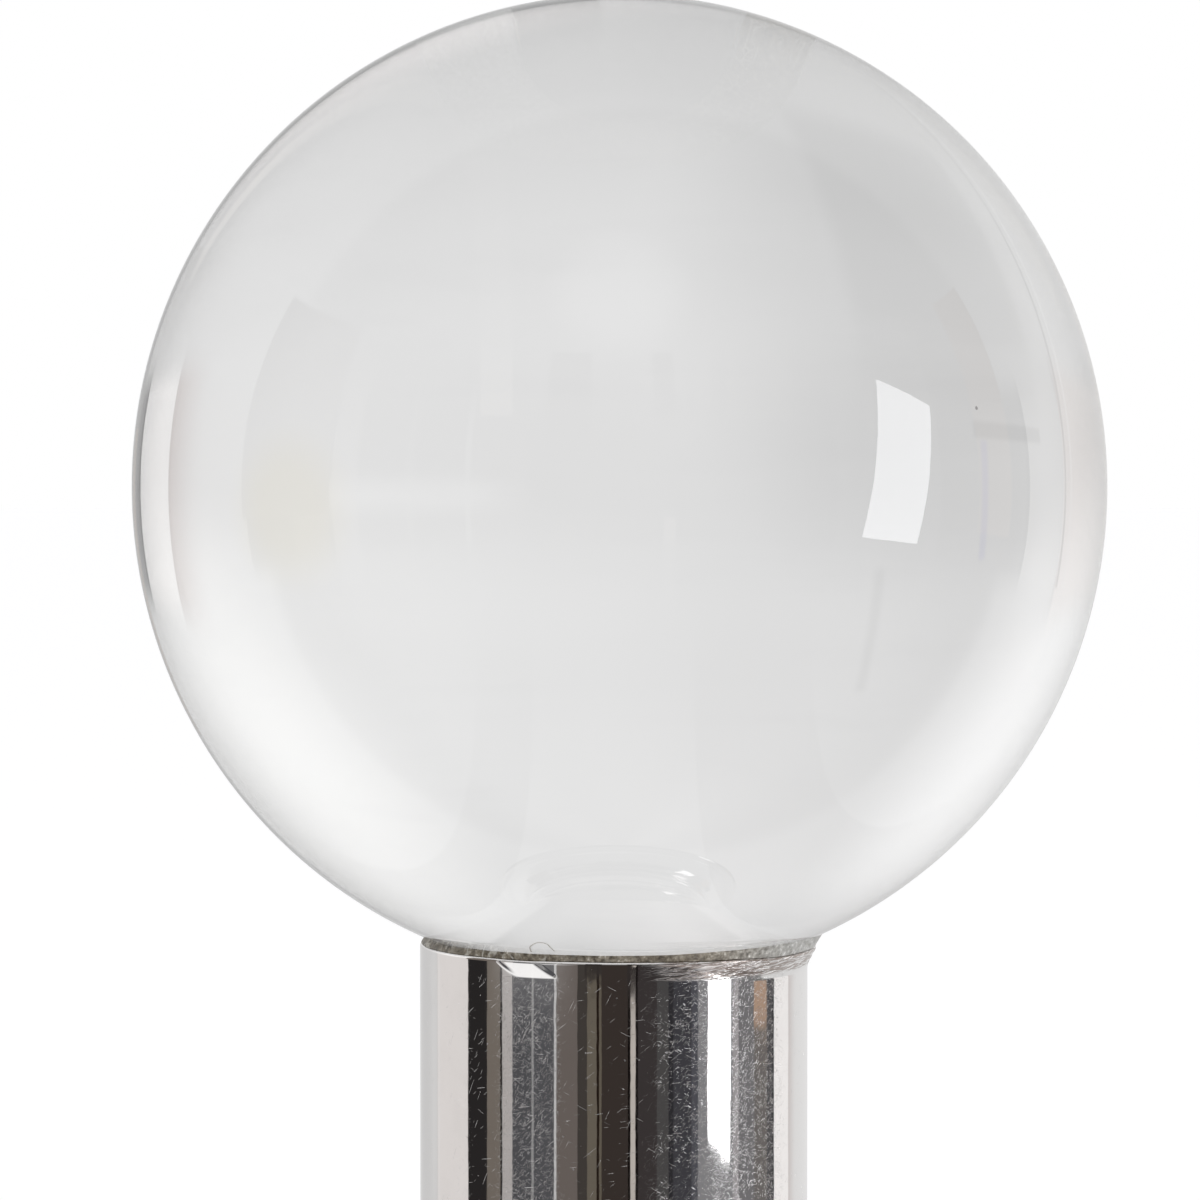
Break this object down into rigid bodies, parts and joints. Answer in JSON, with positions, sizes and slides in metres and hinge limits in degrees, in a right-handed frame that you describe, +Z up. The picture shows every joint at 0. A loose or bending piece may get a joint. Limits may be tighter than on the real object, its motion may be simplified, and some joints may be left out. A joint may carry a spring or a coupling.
{
  "type": "hood ornament",
  "caption": "Solid glass ball on a chromed tube and stepped foot, clamped to a hood by a stud, washers and a wing nut.",
  "frame": {"origin": "centre of the hood's hole, on the hood's outer surface, where the gasket's underside rests", "axes": "+Z up the stud and the tube, towards the ball; +X towards the flared side of the tube's mouth; -Y towards the viewer"},
  "size_m": [0.07, 0.07, 0.1749],
  "materials": {
    "glass": "polished, clear",
    "cement": "rough grey-brown bonding cement",
    "chrome": "polished, finely scratched",
    "brass": "turned, unplated",
    "zinc": "zinc plated, worn",
    "rubber": "matte, dusty"
  },
  "bodies": {
    "ornament": {"glass_ball": "glass", "bonding_cement": "cement", "seat_cushion": "rubber", "seat_plug": "brass", "seat_spring_washer": "zinc", "seat_lock_nut": "zinc", "stem_tube": "chrome", "stem_collar": "chrome", "centring_bush": "brass", "base_flange": "chrome", "base_plain_washer": "zinc", "base_spring_washer": "zinc", "base_lock_nut": "zinc", "base_gasket": "rubber", "tie_rod": "zinc"},
    "hood_clamp": {"hood_rubber_washer": "rubber", "hood_backing_washer": "zinc", "hood_spring_washer": "zinc"},
    "wing_nut": {"wing_nut": "zinc"}
  },
  "joints": [
    {"name": "clamp_travel", "type": "slide", "parent": "ornament", "child": "hood_clamp", "axis": [0, 0, 1], "range_m": [-0.01001, 0.00501]},
    {"name": "nut_spin", "type": "hinge", "parent": "hood_clamp", "child": "wing_nut", "pos_m": [0, 0, -0.0133], "axis": [0, 0, 1], "range_deg": [-2880, 1440]}
  ],
  "couplings": [
    {"joint": "clamp_travel", "follows": "nut_spin", "m_per_rad": 0.00019894}
  ]
}
